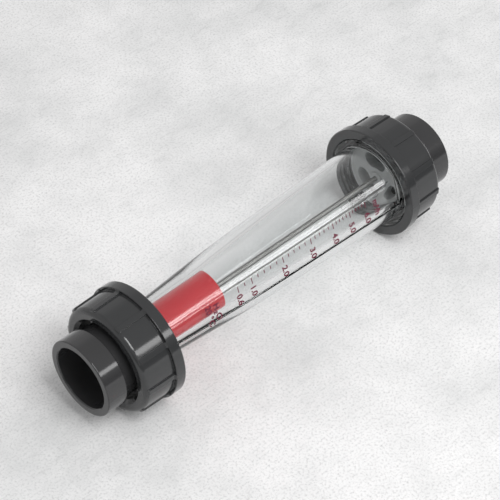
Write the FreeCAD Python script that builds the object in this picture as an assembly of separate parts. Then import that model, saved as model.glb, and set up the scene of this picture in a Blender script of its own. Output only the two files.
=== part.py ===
import FreeCAD, Part

import math
import os

from FreeCAD import Vector

# A plastic tube rotameter lying on its side. The origin is the centre of the inlet mouth,
# +X runs with the flow to the outlet mouth, and +Z is up. Every size is in millimetres.

# Edge roundings, and how far a cutter passes the face that it opens.
softEdge = 0.8
fineEdge = 0.4
cutMargin = 1.0

# Pipe sockets: the two tail pieces are alike and face away from each other.
pipeDiameter = 48.3
pipeClearance = 0.05
socketDepth = 30.0
socketWall = 5.9
socketNeckWall = 3.3
socketNeckLength = 14.2
socketNeckFillet = 1.2
pipeStopRadius = 21.0
tailLength = 39.0
flangeThickness = 8.0
mouthChamfer = 0.8

# Threaded ends of the tube, as plain cylinders at the mean radius of the thread.
collarWall = 7.7
collarLength = 18.0
collarChamfer = 1.2
threadClearance = 0.3
flangePlay = 0.9

# Face seals in the flanges of the tail pieces.
sealSection = 3.5
sealGrooveDepth = 2.7
sealGrooveClearance = 0.25

# Union nuts: a smooth band on the tube's side, then ribs between sunk panels.
nutLength = 34.5
nutLipThickness = 8.0
nutLipPlay = 0.2
nutHoleClearance = 1.4
nutHoleChamfer = 2.6
nutWall = 5.3
nutBandRise = 2.7
nutBandWidth = 8.5
nutBandEdge = 0.9
nutPanelDraft = 0.5
nutShoulderRadius = 4.0
nutRibHeight = 1.1
nutRibWidth = 4.2
nutRibCount = 10
nutRibPhase = 18.0
nutRibSetback = 1.6
nutRibEdge = 1.7
nutRibRoot = 2.0
nutMouthChamfer = 0.8

# Measuring tube between the two tail pieces: a long cone with a flat pad for the scale.
tubeLength = 265.0
neckWall = 4.1
kneeRadius = 27.5
kneePosition = 109.0
kneeBlend = 1200.0
shoulderWall = 4.15
neckFillet = 3.0
shoulderFillet = 1.2
padAngle = 72.0
padHalfAngle = 18.5
endBoreStep = 1.35
endBoreDepth = 11.0
funnelFlare = 7.0
funnelLength = 6.5
funnelBlend = 6.0
boreRadius = 17.0
boreOutletRadius = 27.65

# Float and the guide rod that it slides on.
floatRadius = 16.3
floatLength = 60.0
floatBottomChamfer = 3.0
floatSeatGap = 0.3
rodRadius = 2.0
rodClearance = 0.3
floatCoreWall = 1.2
weightRadius = 11.5
weightLength = 40.0
weightClearance = 0.1
plugThickness = 6.0

# Stops in the ends of the tube: a thick web with kidney ports, and a low hub for the rod.
stopClearance = 0.1
stopSetback = 0.2
stopSleeveWall = 2.4
stopWebThickness = 9.0
stopHubRadius = 5.0
stopHubHeight = 1.5
stopPortCount = 3
stopPortWidth = 13.0
stopPortSpan = 80.0
stopPortPhase = -8.0
stopRimWidth = 7.4
rodSeatDepth = 6.0
rodSeatClearance = 0.05

# Bush on the rod that the float rests on at no flow.
restBushLength = 8.2
restBushRadius = 6.0

# Sizes and places worked out from the ones above.
socketRadius = pipeDiameter / 2 + pipeClearance
barrelRadius = socketRadius + socketWall
socketNeckRadius = socketRadius + socketNeckWall
endBoreRadius = boreOutletRadius + endBoreStep
collarRadius = endBoreRadius + collarWall
sealMidRadius = (endBoreRadius + collarRadius - collarChamfer) / 2
flangeRadius = collarRadius - flangePlay
neckRadius = boreRadius + neckWall
shoulderRadius = boreOutletRadius + shoulderWall
funnelRadius = boreRadius + funnelFlare
nutBoreRadius = collarRadius + threadClearance
nutPanelRadius = nutBoreRadius + nutWall
nutBandRadius = nutPanelRadius + nutBandRise
nutHoleRadius = barrelRadius + nutHoleClearance
overallLength = 2 * tailLength + tubeLength
tubeStart = tailLength
tubeEnd = tailLength + tubeLength
nutFront = tailLength - flangeThickness - nutLipPlay - nutLipThickness
nutEnd = nutFront + nutLength
neckStart = tubeStart + collarLength
shoulderEnd = tubeEnd - collarLength
stopRadius = endBoreRadius - stopClearance
inletWebFace = tubeStart + endBoreDepth - stopClearance
outletWebFace = tubeEnd - endBoreDepth + stopClearance
restBushStart = inletWebFace + stopHubHeight
floatBottom = restBushStart + restBushLength + floatSeatGap
floatTop = floatBottom + floatLength
floatTravel = outletWebFace - stopHubHeight - floatSeatGap - floatTop

axisStart = Vector(0, 0, 0)
axisX = Vector(1, 0, 0)


def outlineWire(corners):
    """Closed wire in the XZ plane through (x, r) corners, each with an optional fillet radius."""
    count = len(corners)
    places = [Vector(corner[0], 0, corner[1]) for corner in corners]
    starts, ends, arcs = [], [], []
    for index, corner in enumerate(corners):
        place = places[index]
        if len(corner) < 3:
            starts.append(place)
            ends.append(place)
            arcs.append(None)
            continue
        toLast = (places[index - 1] - place).normalize()
        toNext = (places[(index + 1) % count] - place).normalize()
        halfTurn = toLast.getAngle(toNext) / 2
        reach = corner[2] / math.tan(halfTurn)
        middle = (toLast + toNext).normalize() * (corner[2] / math.sin(halfTurn) - corner[2])
        starts.append(place + toLast * reach)
        ends.append(place + toNext * reach)
        arcs.append(Part.Arc(starts[-1], place + middle, ends[-1]).toShape())
    edges = []
    for index in range(count):
        if arcs[index]:
            edges.append(arcs[index])
        nextStart = starts[(index + 1) % count]
        if ends[index].distanceToPoint(nextStart) > 1e-6:
            edges.append(Part.LineSegment(ends[index], nextStart).toShape())
    return Part.Wire(edges)


def turned(corners):
    """Solid of revolution about the X axis from its half section."""
    return Part.Face(outlineWire(corners)).revolve(axisStart, axisX, 360)


def atOutlet(shape):
    """The same piece at the outlet, facing the other way."""
    return shape.mirror(Vector(overallLength / 2, 0, 0), axisX)


def save(name, shape):
    solid = shape.removeSplitter()
    solid = solid.Solids[0] if len(solid.Solids) == 1 else solid
    if not solid.isValid():
        raise ValueError(name + " is not a valid solid")
    solid.exportStep("parts/" + name + ".step")
    print(name, "volume", round(solid.Volume, 1), "solids", len(solid.Solids))


def tailPiece():
    """Pipe socket, waisted behind the nut's hole, with the flange that the nut pulls."""
    flangeStart = tailLength - flangeThickness
    neckFace = flangeStart - socketNeckLength
    body = turned([
        (0, socketRadius + mouthChamfer),
        (0, barrelRadius, mouthChamfer),
        (neckFace, barrelRadius, softEdge),
        (neckFace, socketNeckRadius, socketNeckFillet),
        (flangeStart, socketNeckRadius, fineEdge),
        (flangeStart, flangeRadius, softEdge),
        (tailLength, flangeRadius, fineEdge),
        (tailLength, pipeStopRadius),
        (socketDepth, pipeStopRadius),
        (socketDepth, socketRadius),
        (mouthChamfer, socketRadius),
    ])
    return body.cut(sealGroove())


def sealGrooveWidth():
    # The squeezed ring keeps the area of its free section.
    freeArea = math.pi * sealSection ** 2 / 4
    roundArea = math.pi * sealGrooveDepth ** 2 / 4
    return sealGrooveDepth + (freeArea - roundArea) / sealGrooveDepth


def sealGroove():
    halfWidth = sealGrooveWidth() / 2 + sealGrooveClearance
    return turned([
        (tailLength - sealGrooveDepth, sealMidRadius - halfWidth),
        (tailLength - sealGrooveDepth, sealMidRadius + halfWidth),
        (tailLength + cutMargin, sealMidRadius + halfWidth),
        (tailLength + cutMargin, sealMidRadius - halfWidth),
    ])


def sealRing():
    """Ring seal as it lies squeezed between the flange and the end of the tube."""
    halfWidth = sealGrooveWidth() / 2
    corner = sealGrooveDepth * 0.49
    low = tailLength - sealGrooveDepth
    return turned([
        (low, sealMidRadius - halfWidth, corner),
        (low, sealMidRadius + halfWidth, corner),
        (tailLength, sealMidRadius + halfWidth, corner),
        (tailLength, sealMidRadius - halfWidth, corner),
    ])


def unionNut():
    bandStart = nutEnd - nutBandWidth
    frontRadius = nutPanelRadius - nutPanelDraft
    lipInside = nutFront + nutLipThickness
    body = turned([
        (nutFront + nutHoleChamfer, nutHoleRadius),
        (nutFront, nutHoleRadius + nutHoleChamfer),
        (nutFront, frontRadius, nutShoulderRadius),
        (bandStart, nutPanelRadius),
        (bandStart, nutBandRadius, nutBandEdge / 2),
        (nutEnd, nutBandRadius, nutBandEdge),
        (nutEnd, nutBoreRadius + nutMouthChamfer),
        (nutEnd - nutMouthChamfer, nutBoreRadius),
        (lipInside, nutBoreRadius, softEdge),
        (lipInside, nutHoleRadius),
    ])
    return body.fuse(nutRibs(bandStart, frontRadius))


def nutRibs(bandStart, frontRadius):
    """Grip ribs, cut from one ring so that their tops follow the nut's round."""
    ribStart = nutFront + nutRibSetback
    rootRadius = frontRadius - nutRibRoot
    ring = turned([
        (ribStart, rootRadius),
        (ribStart, frontRadius + nutRibHeight, nutRibEdge),
        (bandStart - nutRibHeight, nutPanelRadius + nutRibHeight),
        (bandStart, nutBandRadius),
        (bandStart + cutMargin, nutBandRadius - nutBandEdge),
        (bandStart + cutMargin, rootRadius),
    ])
    slabs = []
    for index in range(nutRibCount):
        slab = Part.makeBox(nutLength, nutRibWidth, nutBandRadius, Vector(nutFront, -nutRibWidth / 2, 0))
        slab.rotate(axisStart, axisX, nutRibPhase + index * 360.0 / nutRibCount)
        slabs.append(slab)
    return ring.common(Part.makeCompound(slabs))


def measuringTube():
    """Clear tube: a threaded collar at each end, a slow outside taper and the metering cone."""
    boreStart = tubeStart + endBoreDepth + funnelLength
    body = turned([
        (tubeStart, endBoreRadius),
        (tubeStart, collarRadius - collarChamfer),
        (tubeStart + collarChamfer, collarRadius),
        (neckStart, collarRadius, fineEdge),
        (neckStart, neckRadius, neckFillet),
        (tubeStart + kneePosition, kneeRadius, kneeBlend),
        (shoulderEnd, shoulderRadius, shoulderFillet),
        (shoulderEnd, collarRadius, fineEdge),
        (tubeEnd - collarChamfer, collarRadius),
        (tubeEnd, collarRadius - collarChamfer),
        (tubeEnd, endBoreRadius),
        (tubeEnd - endBoreDepth, endBoreRadius),
        (tubeEnd - endBoreDepth, boreOutletRadius),
        (floatTop, boreRadius),
        (boreStart, boreRadius, funnelBlend),
        (tubeStart + endBoreDepth, funnelRadius),
        (tubeStart + endBoreDepth, endBoreRadius),
    ])
    return body.cut(padCutter())


def padCutter():
    """What the flat scale pad takes off: it follows the outside taper all along the tube."""
    share = math.cos(math.radians(padHalfAngle))
    high = 2 * collarRadius
    wire = outlineWire([
        (neckStart, high),
        (neckStart, neckRadius * share),
        (tubeStart + kneePosition, kneeRadius * share, kneeBlend),
        (shoulderEnd, shoulderRadius * share),
        (shoulderEnd, high),
    ])
    cutter = Part.Face(wire).extrude(Vector(0, 2 * collarRadius, 0))
    cutter.translate(Vector(0, -collarRadius, 0))
    cutter.rotate(axisStart, axisX, padAngle)
    return cutter


def stopPiece():
    """Stop for the inlet end: a thick web in a sleeve, with a low hub that holds the rod."""
    webBack = inletWebFace - stopWebThickness
    sleeveInside = stopRadius - stopSleeveWall
    body = turned([
        (tubeStart + stopSetback, sleeveInside),
        (tubeStart + stopSetback, stopRadius, fineEdge),
        (inletWebFace, stopRadius),
        (inletWebFace, stopHubRadius),
        (inletWebFace + stopHubHeight, stopHubRadius, fineEdge),
        (inletWebFace + stopHubHeight, 0),
        (webBack, 0),
        (webBack, sleeveInside),
    ])
    ports = []
    for index in range(stopPortCount):
        port = kidneyPort(webBack)
        port.rotate(axisStart, axisX, stopPortPhase + index * 360.0 / stopPortCount)
        ports.append(port)
    return body.cut(Part.makeCompound(ports)).cut(rodHole())


def kidneyPort(webBack):
    """A slot bent round the axis with round ends, centred on the top."""
    halfWidth = stopPortWidth / 2
    middle = stopRadius - stopRimWidth - halfWidth
    low, length = webBack - cutMargin, stopWebThickness + 2 * cutMargin
    bend = stopPortSpan - 2 * math.degrees(math.asin(halfWidth / middle))
    section = outlineWire([
        (low, middle - halfWidth),
        (low, middle + halfWidth),
        (low + length, middle + halfWidth),
        (low + length, middle - halfWidth),
    ])
    slot = Part.Face(section).revolve(axisStart, axisX, bend)
    slot.rotate(axisStart, axisX, -bend / 2)
    for turn in (-bend / 2, bend / 2):
        end = Part.makeCylinder(halfWidth, length, Vector(low, 0, middle), axisX)
        end.rotate(axisStart, axisX, turn)
        slot = slot.fuse(end)
    return slot


def rodHole():
    start = inletWebFace + stopHubHeight - rodSeatDepth
    length = rodSeatDepth + cutMargin
    return Part.makeCylinder(rodRadius + rodSeatClearance, length, Vector(start, 0, 0), axisX)


def restBush():
    hole = rodRadius + rodSeatClearance
    return turned([
        (restBushStart, hole),
        (restBushStart, restBushRadius, fineEdge),
        (restBushStart + restBushLength, restBushRadius, softEdge),
        (restBushStart + restBushLength, hole),
    ])


def guideRod():
    start = inletWebFace + stopHubHeight - rodSeatDepth
    end = outletWebFace - stopHubHeight + rodSeatDepth
    return turned([
        (start, 0),
        (start, rodRadius, fineEdge),
        (end, rodRadius, fineEdge),
        (end, 0),
    ])


def floatShell():
    """Moulded float: a skirt round a deep ring cavity, with a tube for the rod at its centre."""
    holeRadius = rodRadius + rodClearance
    cavityTop = floatBottom + plugThickness + weightLength + weightClearance
    return turned([
        (floatBottom, floatCavityRadius()),
        (floatBottom, floatRadius - floatBottomChamfer),
        (floatBottom + floatBottomChamfer, floatRadius),
        (floatTop, floatRadius, softEdge),
        (floatTop, holeRadius),
        (floatBottom, holeRadius),
        (floatBottom, holeRadius + floatCoreWall),
        (cavityTop, holeRadius + floatCoreWall),
        (cavityTop, floatCavityRadius()),
    ])


def floatCavityRadius():
    return weightRadius + weightClearance


def floatWeight():
    start = floatBottom + plugThickness
    inside = rodRadius + rodClearance + floatCoreWall + weightClearance
    return turned([
        (start, inside),
        (start, weightRadius, fineEdge),
        (start + weightLength, weightRadius, fineEdge),
        (start + weightLength, inside),
    ])


def floatPlug():
    inside = rodRadius + rodClearance + floatCoreWall
    return turned([
        (floatBottom, inside),
        (floatBottom, floatCavityRadius()),
        (floatBottom + plugThickness, floatCavityRadius()),
        (floatBottom + plugThickness, inside),
    ])


os.makedirs("parts", exist_ok=True)
save("measuring_tube", measuringTube())
save("inlet_tail", tailPiece())
save("outlet_tail", atOutlet(tailPiece()))
save("inlet_seal", sealRing())
save("outlet_seal", atOutlet(sealRing()))
save("inlet_nut", unionNut())
save("outlet_nut", atOutlet(unionNut()))
save("inlet_stop", stopPiece())
save("outlet_stop", atOutlet(stopPiece()))
save("guide_rod", guideRod())
save("rest_bush", restBush())
save("float_shell", floatShell())
save("float_weight", floatWeight())
save("float_plug", floatPlug())
print("overall length", overallLength, "float travel", round(floatTravel, 2), "float top", round(floatTop, 2))
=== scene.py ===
import math

import bmesh
import bpy
from mathutils import Matrix, Vector


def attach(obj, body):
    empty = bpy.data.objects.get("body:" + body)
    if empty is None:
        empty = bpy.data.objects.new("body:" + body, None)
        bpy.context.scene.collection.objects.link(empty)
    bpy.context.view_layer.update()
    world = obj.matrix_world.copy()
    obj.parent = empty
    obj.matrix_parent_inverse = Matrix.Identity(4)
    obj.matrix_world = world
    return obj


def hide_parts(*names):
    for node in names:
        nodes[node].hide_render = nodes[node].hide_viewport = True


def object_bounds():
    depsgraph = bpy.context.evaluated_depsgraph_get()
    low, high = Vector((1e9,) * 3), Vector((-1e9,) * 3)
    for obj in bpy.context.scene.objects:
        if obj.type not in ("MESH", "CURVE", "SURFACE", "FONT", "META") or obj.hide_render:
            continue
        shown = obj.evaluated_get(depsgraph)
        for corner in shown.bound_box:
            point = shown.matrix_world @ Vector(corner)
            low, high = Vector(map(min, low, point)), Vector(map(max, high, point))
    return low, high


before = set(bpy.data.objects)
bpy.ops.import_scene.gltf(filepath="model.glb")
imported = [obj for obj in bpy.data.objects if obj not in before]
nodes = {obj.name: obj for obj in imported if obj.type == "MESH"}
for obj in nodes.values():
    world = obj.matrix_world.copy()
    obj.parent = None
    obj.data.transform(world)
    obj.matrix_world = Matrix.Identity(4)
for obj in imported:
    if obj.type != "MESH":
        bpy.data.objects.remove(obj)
cadLow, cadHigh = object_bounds()
mm = 0.001
print("frame loaded:", len(nodes), "CAD nodes")


def srgb(hexCode, alpha=1.0):
    # "#rrggbb" as painted on screen, to the linear colour that the shader takes
    channels = [int(hexCode[i:i + 2], 16) / 255 for i in (1, 3, 5)]
    linear = [c / 12.92 if c <= 0.04045 else ((c + 0.055) / 1.055) ** 2.4 for c in channels]
    return tuple(linear) + (alpha,)


def addNode(tree, kind, settings=None, links=None):
    # settings: values by socket name or number, or by property name; links: socket -> output socket
    node = tree.nodes.new(kind)
    for key, value in (settings or {}).items():
        if isinstance(key, int) or key in node.inputs:
            node.inputs[key].default_value = value
        else:
            setattr(node, key, value)
    for key, source in (links or {}).items():
        tree.links.new(source, node.inputs[key])
    return node


def newMaterial(name):
    material = bpy.data.materials.new(name)
    material.use_nodes = True
    material.node_tree.nodes.clear()
    return material, material.node_tree


def finishMaterial(tree, shader):
    addNode(tree, "ShaderNodeOutputMaterial", links={"Surface": shader})


def mixColours(tree, factor, first, second):
    tint = addNode(tree, "ShaderNodeMix", {"data_type": "RGBA", 6: srgb(first), 7: srgb(second)},
                   {0: factor})
    return tint.outputs[2]


def dress(node, material):
    for slot in nodes[node].material_slots:
        slot.material = material


def addMesh(name, verts, faces, material, body, sharpAngle=30.0):
    mesh = bpy.data.meshes.new(name)
    mesh.from_pydata([tuple(v) for v in verts], [], faces)
    mesh.polygons.foreach_set("use_smooth", [True] * len(mesh.polygons))
    mesh.update()
    work = bmesh.new()
    work.from_mesh(mesh)
    bmesh.ops.recalc_face_normals(work, faces=work.faces)
    work.to_mesh(mesh)
    work.free()
    mesh.set_sharp_from_angle(angle=math.radians(sharpAngle))
    mesh.materials.append(material)
    piece = bpy.data.objects.new(name, mesh)
    bpy.context.scene.collection.objects.link(piece)
    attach(piece, body)
    return piece


# fitted to the circles of both nuts and sockets in the photo
cameraValues = {
    "place": (-0.5401, -0.7272, 1.0049), "forward": (0.4957, 0.5138, -0.7002), "lens": 141.6,
    "sensor": 36.0, "nearest": 0.01,
}


def buildCamera():
    v = cameraValues
    data = bpy.data.cameras.new("photoCamera")
    data.lens = v["lens"]
    data.sensor_width = v["sensor"]
    data.clip_start = v["nearest"]
    camera = bpy.data.objects.new("photoCamera", data)
    camera.location = v["place"]
    camera.rotation_euler = Vector(v["forward"]).to_track_quat("-Z", "Y").to_euler()
    bpy.context.scene.collection.objects.link(camera)
    bpy.context.scene.camera = camera


lightValues = {
    "skyColour": "#f3f2f2", "skyStrength": 0.57,
    "backdropStrength": 0.8,   # beyond the floor, as the camera sees it
    # a lit white wall low behind the meter; each pair is where it starts and where it is full,
    # as the height or the depth of the direction looked along
    "wallStrength": 0.75, "wallTop": (0.70, 0.60), "wallSide": (0.1, 0.3),
    # a dim room low on the scale's side
    "frontStrength": 0.16, "frontTop": (0.45, 0.15), "frontSide": (-0.15, -0.45),
    "stripFacing": 55.3,   # degrees from straight up, towards the scale side
    "stripDistance": 1.737, "stripPlace": 0.75, "stripLength": 1.3, "stripWidth": 0.32, "stripRadiance": 5.5,
    "keyPlace": (0.10, -1.30, 2.05), "keySize": 1.1, "keyPower": 29.0,
}
centre = Vector(((cadLow.x + cadHigh.x) / 2, 0, 0))   # middle of the tube's axis


def areaLamp(name, place, sizeX, sizeY, power, turn):
    data = bpy.data.lights.new(name, "AREA")
    data.shape = "RECTANGLE"
    data.size, data.size_y, data.energy = sizeX, sizeY, power
    lamp = bpy.data.objects.new(name, data)
    lamp.location = place
    lamp.rotation_mode = "QUATERNION"
    lamp.rotation_quaternion = turn
    bpy.context.scene.collection.objects.link(lamp)


def keySoftbox():
    # high on the scale's side, so that the shadows fall short behind the meter
    v = lightValues
    turn = (centre - Vector(v["keyPlace"])).to_track_quat("-Z", "Y")
    areaLamp("keySoftbox", v["keyPlace"], v["keySize"], v["keySize"], v["keyPower"], turn)


def stripSoftbox():
    # long and narrow beside the tube: it draws the sharp light line on the nuts, sockets and tube
    v = lightValues
    tilt = math.radians(v["stripFacing"])
    out, up = v["stripDistance"] * math.sin(tilt), v["stripDistance"] * math.cos(tilt)
    place = Vector((v["stripPlace"], -out, up))
    forward = (Vector((place.x, 0, 0)) - place).normalized()
    xAxis = Vector((1, 0, 0))   # the long side stays parallel to the tube
    turn = Matrix((xAxis, (-forward).cross(xAxis), -forward)).transposed().to_quaternion()
    power = v["stripRadiance"] * math.pi * v["stripLength"] * v["stripWidth"]
    areaLamp("stripSoftbox", place, v["stripLength"], v["stripWidth"], power, turn)


def buildWorld():
    # one soft sky, lifted low behind the meter and dimmed low in front of it
    v = lightValues
    world = bpy.data.worlds.new("studio")
    world.use_nodes = True
    tree = world.node_tree
    tree.nodes.clear()
    coords = addNode(tree, "ShaderNodeTexCoord")
    parts = addNode(tree, "ShaderNodeSeparateXYZ", links={0: coords.outputs["Generated"]})
    height, depth = parts.outputs["Z"], parts.outputs["Y"]
    starts, full = v["wallTop"]
    low = addNode(tree, "ShaderNodeMapRange", {"From Min": starts, "From Max": full}, {"Value": height})
    starts, full = v["wallSide"]
    back = addNode(tree, "ShaderNodeMapRange", {"From Min": starts, "From Max": full}, {"Value": depth})
    wall = addNode(tree, "ShaderNodeMath", {"operation": "MULTIPLY"},
                   {0: low.outputs[0], 1: back.outputs[0]})
    starts, full = v["frontTop"]
    flat = addNode(tree, "ShaderNodeMapRange", {"From Min": starts, "From Max": full}, {"Value": height})
    starts, full = v["frontSide"]
    front = addNode(tree, "ShaderNodeMapRange", {"From Min": starts, "From Max": full}, {"Value": depth})
    dim = addNode(tree, "ShaderNodeMath", {"operation": "MULTIPLY"},
                  {0: flat.outputs[0], 1: front.outputs[0]})
    rise = v["wallStrength"] - v["skyStrength"]
    fall = v["frontStrength"] - v["skyStrength"]
    lifted = addNode(tree, "ShaderNodeMath", {"operation": "MULTIPLY_ADD", 1: rise, 2: v["skyStrength"]},
                     {0: wall.outputs[0]})
    strength = addNode(tree, "ShaderNodeMath", {"operation": "MULTIPLY_ADD", 1: fall},
                       {0: dim.outputs[0], 2: lifted.outputs[0]})
    path = addNode(tree, "ShaderNodeLightPath")
    pale = addNode(tree, "ShaderNodeMath", {"operation": "MULTIPLY", 1: v["backdropStrength"]},
                   {0: path.outputs["Is Camera Ray"]})
    shown = addNode(tree, "ShaderNodeMath", {"operation": "MAXIMUM"},
                    {0: strength.outputs[0], 1: pale.outputs[0]})
    sky = addNode(tree, "ShaderNodeBackground", {"Color": srgb(v["skyColour"])},
                  {"Strength": shown.outputs[0]})
    addNode(tree, "ShaderNodeOutputWorld", links={"Surface": sky.outputs[0]})
    bpy.context.scene.world = world


floorValues = {
    "size": 6.0, "colour": "#f7f7f7",
    # each range: the noise value where a mark starts to show, and where it shows in full
    "cloudColour": "#dedfdf", "cloudMm": 130.0, "cloudRange": (0.40, 0.66),
    "streakColour": "#c6c7c7", "streakMm": 9.0, "streakRange": (0.53, 0.80),
    "streakStretch": (0.35, 1.0, 1.0),
    "poreColour": "#c2c3c3", "poreMm": 1.8, "poreRange": (0.48, 0.80),
    "poreRelief": 0.3, "poreDepth": 0.0002,
}


def buildFloor():
    v = floorValues
    # white concrete smoothed with a trowel: matt, with slow grey clouds, faint streaks and fine pores
    material, tree = newMaterial("concreteWhiteTrowelled")
    coords = addNode(tree, "ShaderNodeTexCoord")
    clouds = addNode(tree, "ShaderNodeTexNoise",
                     {"Scale": 1000 / v["cloudMm"], "Detail": 9.0, "Roughness": 0.68},
                     {"Vector": coords.outputs["Object"]})
    starts, full = v["cloudRange"]
    mottle = addNode(tree, "ShaderNodeMapRange", {"From Min": starts, "From Max": full},
                     {"Value": clouds.outputs[0]})
    pores = addNode(tree, "ShaderNodeTexNoise",
                    {"Scale": 1000 / v["poreMm"], "Detail": 4.0, "Roughness": 0.6},
                    {"Vector": coords.outputs["Object"]})
    starts, full = v["poreRange"]
    dots = addNode(tree, "ShaderNodeMapRange", {"From Min": starts, "From Max": full},
                   {"Value": pores.outputs[0]})
    drawn = addNode(tree, "ShaderNodeMapping", {"Scale": v["streakStretch"]},
                    {"Vector": coords.outputs["Object"]})
    trowel = addNode(tree, "ShaderNodeTexNoise",
                     {"Scale": 1000 / v["streakMm"], "Detail": 6.0, "Roughness": 0.75},
                     {"Vector": drawn.outputs[0]})
    starts, full = v["streakRange"]
    marks = addNode(tree, "ShaderNodeMapRange", {"From Min": starts, "From Max": full},
                    {"Value": trowel.outputs[0]})
    streaks = addNode(tree, "ShaderNodeMath", {"operation": "MULTIPLY"},
                      {0: marks.outputs[0], 1: mottle.outputs[0]})
    clouded = mixColours(tree, mottle.outputs[0], v["colour"], v["cloudColour"])
    streaked = addNode(tree, "ShaderNodeMix", {"data_type": "RGBA", 7: srgb(v["streakColour"])},
                       {0: streaks.outputs[0], 6: clouded})
    worn = addNode(tree, "ShaderNodeMix", {"data_type": "RGBA", 7: srgb(v["poreColour"])},
                   {0: dots.outputs[0], 6: streaked.outputs[2]})
    relief = addNode(tree, "ShaderNodeBump", {"Strength": v["poreRelief"], "Distance": v["poreDepth"]},
                     {"Height": pores.outputs[0]})
    shader = addNode(tree, "ShaderNodeBsdfPrincipled", {"Roughness": 0.85, "IOR": 1.5},
                     {"Base Color": worn.outputs[2], "Normal": relief.outputs[0]})
    finishMaterial(tree, shader.outputs[0])
    half = v["size"] / 2
    low = cadLow.z
    mesh = bpy.data.meshes.new("floor")
    mesh.from_pydata([(-half, -half, low), (half, -half, low), (half, half, low), (-half, half, low)], [],
                     [(0, 1, 2, 3)])
    mesh.materials.append(material)
    floor = bpy.data.objects.new("floor", mesh)
    bpy.context.scene.collection.objects.link(floor)


buildCamera()
keySoftbox()
stripSoftbox()
buildWorld()
buildFloor()
bpy.context.scene.view_settings.view_transform = "Standard"
print("light, floor and camera set")


def mouldedPlastic(name, colour, shade, roughness, ior, edgeMm=0.0, grainMm=0.35, cloudMm=14.0, bump=0.04):
    # a slow colour drift from the melt flow, a fine mould grain,
    # and edges as softly rounded as the mould leaves them
    material, tree = newMaterial(name)
    coords = addNode(tree, "ShaderNodeTexCoord")
    clouds = addNode(tree, "ShaderNodeTexNoise", {"Scale": 1000 / cloudMm, "Detail": 3.0},
                     {"Vector": coords.outputs["Object"]})
    grain = addNode(tree, "ShaderNodeTexNoise", {"Scale": 1000 / grainMm, "Detail": 2.0},
                    {"Vector": coords.outputs["Object"]})
    rough = addNode(tree, "ShaderNodeMapRange", {"To Min": roughness * 0.85, "To Max": roughness * 1.2},
                    {"Value": clouds.outputs[0]})
    relief = addNode(tree, "ShaderNodeBump", {"Strength": bump, "Distance": 0.00005},
                     {"Height": grain.outputs[0]})
    if edgeMm:
        edge = addNode(tree, "ShaderNodeBevel", {"samples": 6, "Radius": edgeMm * mm})
        tree.links.new(edge.outputs[0], relief.inputs["Normal"])
    shader = addNode(tree, "ShaderNodeBsdfPrincipled", {"IOR": ior},
                     {"Base Color": mixColours(tree, clouds.outputs[0], colour, shade),
                      "Roughness": rough.outputs[0], "Normal": relief.outputs[0]})
    finishMaterial(tree, shader.outputs[0])
    return material


def clearPlastic(name, colour, passed, ior, waveMm=30.0):
    # light bends in the thick clear wall, with faint flow waves that make its reflections swim a little
    material, tree = newMaterial(name)
    coords = addNode(tree, "ShaderNodeTexCoord")
    waves = addNode(tree, "ShaderNodeTexNoise", {"Scale": 1000 / waveMm, "Detail": 1.0},
                    {"Vector": coords.outputs["Object"]})
    relief = addNode(tree, "ShaderNodeBump", {"Strength": 0.03, "Distance": 0.0004},
                     {"Height": waves.outputs[0]})
    shader = addNode(tree, "ShaderNodeBsdfPrincipled",
                     {"Base Color": srgb(colour), "Roughness": 0.0, "IOR": ior, "Transmission Weight": 1.0},
                     {"Normal": relief.outputs[0]})
    # light on its way to the floor or the float goes straight through, so the shadow stays clear and calm
    clear = addNode(tree, "ShaderNodeBsdfTransparent", {"Color": srgb(passed)})
    path = addNode(tree, "ShaderNodeLightPath")
    straight = addNode(tree, "ShaderNodeMath", {"operation": "MAXIMUM"},
                       {0: path.outputs["Is Shadow Ray"], 1: path.outputs["Is Diffuse Ray"]})
    mix = addNode(tree, "ShaderNodeMixShader", links={0: straight.outputs[0], 1: shader.outputs[0],
                                                      2: clear.outputs[0]})
    finishMaterial(tree, mix.outputs[0])
    return material


def drawnMetal(name, colour, roughness, grainMm):
    # fine scratches along the drawing or turning direction
    material, tree = newMaterial(name)
    coords = addNode(tree, "ShaderNodeTexCoord")
    stretch = addNode(tree, "ShaderNodeMapping", {"Scale": (0.05, 1.0, 1.0)},
                      {"Vector": coords.outputs["Object"]})
    grain = addNode(tree, "ShaderNodeTexNoise", {"Scale": 1000 / grainMm, "Detail": 4.0},
                    {"Vector": stretch.outputs[0]})
    rough = addNode(tree, "ShaderNodeMapRange", {"To Min": roughness * 0.7, "To Max": roughness * 1.4},
                    {"Value": grain.outputs[0]})
    shader = addNode(tree, "ShaderNodeBsdfPrincipled", {"Base Color": srgb(colour), "Metallic": 1.0},
                     {"Roughness": rough.outputs[0]})
    finishMaterial(tree, shader.outputs[0])
    return material


# union nuts, moulded ABS: glossy enough for a crisp lamp line, wavy enough to break it a little
absMoulded = mouldedPlastic("absDarkGreyMoulded", "#353637", "#303132", 0.11, 1.53, edgeMm=0.45)
# pipe sockets, moulded PVC: a touch duller and warmer than the nuts
pvcMoulded = mouldedPlastic("pvcDarkGreyMoulded", "#373738", "#323233", 0.12, 1.53, edgeMm=0.4)
# float and its plug, moulded ABS: a full red with a broad soft highlight
redAbs = mouldedPlastic("absRedMoulded", "#c8202c", "#c01c28", 0.25, 1.53, edgeMm=0.3)
# stops and rest bush, moulded polypropylene: waxy and pale, nearly without highlights
greyPolypropylene = mouldedPlastic("polypropyleneLightGreyMoulded", "#a9abab", "#a0a2a2", 0.42, 1.49,
                                   edgeMm=0.3)
# ring seals, moulded EPDM rubber: black and dull
rubber = mouldedPlastic("epdmRubberMoulded", "#1c1c1c", "#181818", 0.6, 1.52)
# measuring tube, moulded acrylic: colourless and polished, it bends what lies behind it
acrylic = clearPlastic("acrylicClearMoulded", "#f3f4f4", "#f9fafa", 1.49)
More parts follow.
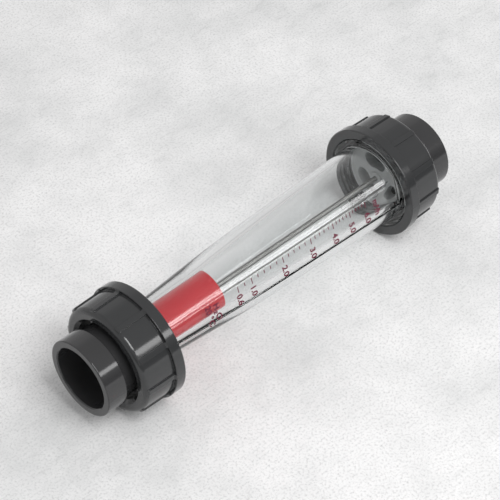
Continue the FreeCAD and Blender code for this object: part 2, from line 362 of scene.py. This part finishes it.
# guide rod, drawn stainless steel: a soft grey line, brighter along its top
rodSteel = drawnMetal("stainlessSteelDrawn", "#8c8c8a", 0.6, 0.3)
# weight inside the float, turned steel: dull grey with fine turning lines, hidden in use
weightSteel = drawnMetal("steelTurned", "#8f8f8d", 0.35, 0.2)
# printed scale, screen ink: thin, matt and dark crimson
ink = mouldedPlastic("screenInkCrimson", "#6a0c2e", "#620c2c", 0.5, 1.5)

nodeFinishes = {
    "inlet_nut": absMoulded, "outlet_nut": absMoulded, "inlet_tail": pvcMoulded, "outlet_tail": pvcMoulded,
    "inlet_seal": rubber, "outlet_seal": rubber, "inlet_stop": greyPolypropylene,
    "outlet_stop": greyPolypropylene, "rest_bush": greyPolypropylene, "guide_rod": rodSteel,
    "float_shell": redAbs, "float_plug": redAbs, "float_weight": weightSteel, "measuring_tube": acrylic,
}
for node, finish in nodeFinishes.items():
    dress(node, finish)
print("materials on the CAD nodes")


tubeValues = {
    "start": 39.0, "end": 304.0, "collarLength": 18.0, "collarRadius": 36.7, "collarChamfer": 1.2,
    "endBore": 29.0, "endBoreDepth": 11.0, "neckRadius": 21.1, "kneeRadius": 27.5, "kneePlace": 148.0,
    "kneeBlend": 1200.0, "shoulderRadius": 31.8, "neckFillet": 3.0, "shoulderFillet": 1.2,
    "funnelRadius": 24.0, "funnelLength": 6.5, "funnelBlend": 6.0, "boreRadius": 17.0, "boreEnd": 27.65,
    "coneStart": 119.9, "padAngle": 70.2, "padHalfAngle": 20.9,
    "threadPitch": 3.0, "threadDepth": 1.1, "threadCrest": 36.9, "threadRelief": 3.0, "threadFade": 1.2,
    "threadFlat": 0.2, "threadFlank": 0.6,   # shares of half a pitch
    "threadStep": 0.3, "padStep": 6.0, "boreStep": 12.0, "turnSteps": 160, "padSteps": 12,
    "sharpAngle": 14.0,   # degrees between faces, so that the pad's edges stay crisp
    "beadWidth": 2.2, "beadRise": 0.5, "beadSteps": 4,   # low round bead along the pad's lower edge
}
padShare = math.cos(math.radians(tubeValues["padHalfAngle"]))


def roundedPath(corners, steps=8):
    # open path through (x, r) corners; a third value rounds that corner with an arc
    path = []
    for index, corner in enumerate(corners):
        place = Vector(corner[:2])
        if len(corner) < 3:
            path.append(place)
            continue
        toLast = (Vector(corners[index - 1][:2]) - place).normalized()
        toNext = (Vector(corners[index + 1][:2]) - place).normalized()
        half = toLast.angle(toNext) / 2
        middle = place + (toLast + toNext).normalized() * (corner[2] / math.sin(half))
        first = place + toLast * (corner[2] / math.tan(half)) - middle
        last = place + toNext * (corner[2] / math.tan(half)) - middle
        turn = math.atan2(first.x * last.y - first.y * last.x, first.dot(last))
        for step in range(steps + 1):
            c, s = math.cos(turn * step / steps), math.sin(turn * step / steps)
            path.append(middle + Vector((c * first.x - s * first.y, s * first.x + c * first.y)))
    return path


def splitLong(path, longest):
    # a long straight run gets points in between, so that the pad's flat follows the taper
    out = [path[0]]
    for place in path[1:]:
        pieces = max(1, math.ceil((place - out[-1]).length / longest))
        last = out[-1]
        out += [last.lerp(place, (i + 1) / pieces) for i in range(pieces)]
    return out


def tubeOutside():
    v = tubeValues
    return roundedPath([
        (v["start"] + v["collarLength"], v["collarRadius"]),
        (v["start"] + v["collarLength"], v["neckRadius"], v["neckFillet"]),
        (v["kneePlace"], v["kneeRadius"], v["kneeBlend"]),
        (v["end"] - v["collarLength"], v["shoulderRadius"], v["shoulderFillet"]),
        (v["end"] - v["collarLength"], v["collarRadius"]),
    ], steps=12)


def tubeInside():
    v = tubeValues
    return roundedPath([
        (v["end"], v["endBore"]),
        (v["end"] - v["endBoreDepth"], v["endBore"]),
        (v["end"] - v["endBoreDepth"], v["boreEnd"]),
        (v["coneStart"], v["boreRadius"]),
        (v["start"] + v["endBoreDepth"] + v["funnelLength"], v["boreRadius"], v["funnelBlend"]),
        (v["start"] + v["endBoreDepth"], v["funnelRadius"]),
        (v["start"] + v["endBoreDepth"], v["endBore"]),
        (v["start"], v["endBore"]),
    ])


outsidePath = tubeOutside()


def outerRadius(x):
    # the tube's outside radius at a place along it, between the two collars
    for low, high in zip(outsidePath, outsidePath[1:]):
        if low.x < x <= high.x:
            return low.y + (high.y - low.y) * (x - low.x) / (high.x - low.x)
    return outsidePath[-2].y


def threadRadius(along, x, angle):
    # along: distance from the collar's open end; the thread fades at the end and before the shoulder
    v = tubeValues
    phase = (x / v["threadPitch"] - angle / 360.0) % 1.0
    ridge = min(1.0, max(0.0, (abs(2 * phase - 1) - v["threadFlat"]) / v["threadFlank"]))
    ridge = ridge * ridge * (3 - 2 * ridge)
    behind = along - v["collarChamfer"]
    room = v["collarLength"] - v["threadRelief"] - along
    fade = min(1.0, max(0.0, behind / v["threadFade"]), max(0.0, room / v["threadFade"]))
    cut = v["threadCrest"] - v["threadDepth"] * ridge
    return v["collarRadius"] + fade * (cut - v["collarRadius"])


def tubeRings():
    # each ring: its place along the tube, its plain radius and how its round is changed
    v = tubeValues
    rings = []

    def collar(first, step):
        count = round(v["collarLength"] / v["threadStep"])
        for i in range(count + 1):
            along = i * v["threadStep"]
            radius = v["collarRadius"] - max(0.0, v["collarChamfer"] - along)
            kind = "thread" if along > v["collarChamfer"] else "plain"
            rings.append((first + step * along, radius, kind))

    rings.append((v["start"], v["endBore"], "plain"))
    collar(v["start"], 1)
    rings.extend((p.x, p.y, "pad") for p in splitLong(outsidePath, v["padStep"])[1:-1])
    tail = len(rings)
    collar(v["end"], -1)
    rings[tail:] = reversed(rings[tail:])
    rings.extend((p.x, p.y, "plain") for p in splitLong(tubeInside(), v["boreStep"])[:-1])
    return rings


def beadHalfAngle():
    # half the bead's width, as degrees round the tube at its knee
    return math.degrees(tubeValues["beadWidth"] / 2 / tubeValues["kneeRadius"])


def beadHeight(offset):
    # offset: degrees from the middle of the pad
    away = (offset - tubeValues["padHalfAngle"]) / beadHalfAngle()
    return tubeValues["beadRise"] * max(0.0, 1 - away * away)


def tubeAngles():
    v = tubeValues
    low, high = v["padAngle"] - v["padHalfAngle"], v["padAngle"] + v["padHalfAngle"]
    side = beadHalfAngle()
    bead = [side * i / v["beadSteps"] for i in range(-v["beadSteps"], v["beadSteps"])]
    pad = [low + side + (high - low - 2 * side) * i / v["padSteps"] for i in range(v["padSteps"])]
    rest = [high + side + (360 - high + low - 2 * side) * i / v["turnSteps"] for i in range(v["turnSteps"])]
    return [low - side, low] + pad + [high + a for a in bead] + rest


def buildTube():
    # closed wall of the clear tube: threads on both collars, and the outside taper cut by the flat pad
    v = tubeValues
    rings, angles = tubeRings(), tubeAngles()
    verts, faces = [], []
    for x, radius, kind in rings:
        for angle in angles:
            offset = math.radians(angle - v["padAngle"])
            r = radius
            if kind == "pad" and abs(math.degrees(offset)) <= v["padHalfAngle"] + 1e-6:
                r = min(radius, outerRadius(x) * padShare / math.cos(offset))
            if kind == "pad":
                r += beadHeight(math.degrees(offset))
            if kind == "thread":
                r = threadRadius(min(x - v["start"], v["end"] - x), x, angle)
            turn = math.radians(angle)
            verts.append((x * mm, -r * math.sin(turn) * mm, r * math.cos(turn) * mm))
    count = len(angles)
    for ring in range(len(rings)):
        base, other = ring * count, (ring + 1) % len(rings) * count
        for i in range(count):
            j = (i + 1) % count
            faces.append((base + i, base + j, other + j, other + i))
    tube = addMesh("clearTube", verts, faces, acrylic, "meter", sharpAngle=v["sharpAngle"])
    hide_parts("measuring_tube")


buildTube()
print("clear tube with threads built")


padValues = {
    "inkFoot": 0.005, "inkTop": 0.03,   # the ink lies between these heights over the pad
    # flow in cubic metres an hour and its place along the tube, from the inlet mouth
    "ticks": [(0.6, 128.9), (1.0, 141.8), (2.0, 172.0), (3.0, 199.5), (4.0, 221.9), (5.0, 239.0),
              (6.0, 254.7)],
    "minorStep": 0.2,   # flow from one short tick to the next
    "longTick": 4.6, "shortTick": 2.6, "tickWidth": 0.7, "tickInset": 3.3,
    "digitHeight": 5.0, "stroke": 0.22, "labelAcross": 4.3, "labelDrift": 0.01,
    "unitPlace": 264.8, "unitAcross": 1.7, "mediumPlace": 108.6, "temperaturePlace": 101.5, "noteAcross": 2.6,
}
padTurn = math.radians(tubeValues["padAngle"])
padNormal = Vector((0, -math.sin(padTurn), math.cos(padTurn)))
padAcross = Vector((0, -math.cos(padTurn), -math.sin(padTurn)))


def padPoint(x, w, lift):
    height = outerRadius(x) * padShare + lift
    return (Vector((x, 0, 0)) + padNormal * height + padAcross * w) * mm


def scalePosition(flow):
    # place of a flow on the scale, between the printed numbers
    ticks = padValues["ticks"]
    for (f0, x0), (f1, x1) in zip(ticks, ticks[1:]):
        if flow <= f1 + 1e-6:
            return x0 + (x1 - x0) * (flow - f0) / (f1 - f0)
    return ticks[-1][1]


def scaleFlows():
    ticks = padValues["ticks"]
    count = round((ticks[-1][0] - ticks[0][0]) / padValues["minorStep"])
    return [ticks[0][0] + i * padValues["minorStep"] for i in range(count + 1)]


def textOutline(words, height):
    # flat letters, as vertices in millimetres and faces, from the built-in font
    curve = bpy.data.curves.new("words", "FONT")
    curve.body = words
    curve.size = height / 0.729   # the font's digits are 0.729 of its size
    curve.offset = padValues["stroke"]
    curve.resolution_u = 4
    holder = bpy.data.objects.new("words", curve)
    bpy.context.scene.collection.objects.link(holder)
    bpy.context.view_layer.update()
    mesh = bpy.data.meshes.new_from_object(holder)
    points = [v.co.copy() for v in mesh.vertices]
    polygons = [tuple(p.vertices) for p in mesh.polygons]
    bpy.data.objects.remove(holder)
    bpy.data.curves.remove(curve)
    bpy.data.meshes.remove(mesh)
    return points, polygons


def buildPrint():
    v = padValues
    verts, faces = [], []

    def addFlat(points, polygons):
        # points (x, w) in millimetres, laid on the pad and given the ink's thickness
        start, count = len(verts), len(points)
        for lift in (v["inkFoot"], v["inkTop"]):
            verts.extend(padPoint(x, w, lift) for x, w in points)
        edges = {}
        for polygon in polygons:
            faces.append(tuple(start + count + i for i in polygon))
            faces.append(tuple(start + i for i in reversed(polygon)))
            for i, j in zip(polygon, polygon[1:] + polygon[:1]):
                edges.setdefault((min(i, j), max(i, j)), []).append((i, j))
        for used in edges.values():
            if len(used) == 1:
                i, j = used[0]
                faces.append((start + i, start + j, start + count + j, start + count + i))

    def addTick(flow):
        x = scalePosition(flow)
        full = any(abs(flow - f) < 1e-6 for f, _ in v["ticks"])
        length = v["longTick"] if full else v["shortTick"]
        edge = -outerRadius(x) * math.sin(math.radians(tubeValues["padHalfAngle"])) + v["tickInset"]
        half = v["tickWidth"] / 2
        addFlat([(x - half, edge), (x + half, edge), (x + half, edge + length), (x - half, edge + length)],
                [(0, 1, 2, 3)])

    def addWords(words, x, w, height):
        points, polygons = textOutline(words, height)
        middle = (min(p.x for p in points) + max(p.x for p in points)) / 2
        flat = [(x + p.y - height / 2, w + p.x - middle) for p in points]
        addFlat(flat, [tuple(reversed(p)) for p in polygons])

    for flow in scaleFlows():
        addTick(flow)
    firstPlace = v["ticks"][0][1]
    for flow, x in v["ticks"]:
        addWords("%.1f" % flow, x, v["labelAcross"] + (x - firstPlace) * v["labelDrift"], v["digitHeight"])
    addWords("m\u00b3/h", v["unitPlace"], v["unitAcross"], v["digitHeight"])
    addWords("H\u2082O", v["mediumPlace"], v["noteAcross"], v["digitHeight"])
    addWords("20 \u00b0C", v["temperaturePlace"], v["noteAcross"], v["digitHeight"])
    addMesh("scalePrint", verts, faces, ink, "meter")


buildPrint()
print("scale printed")
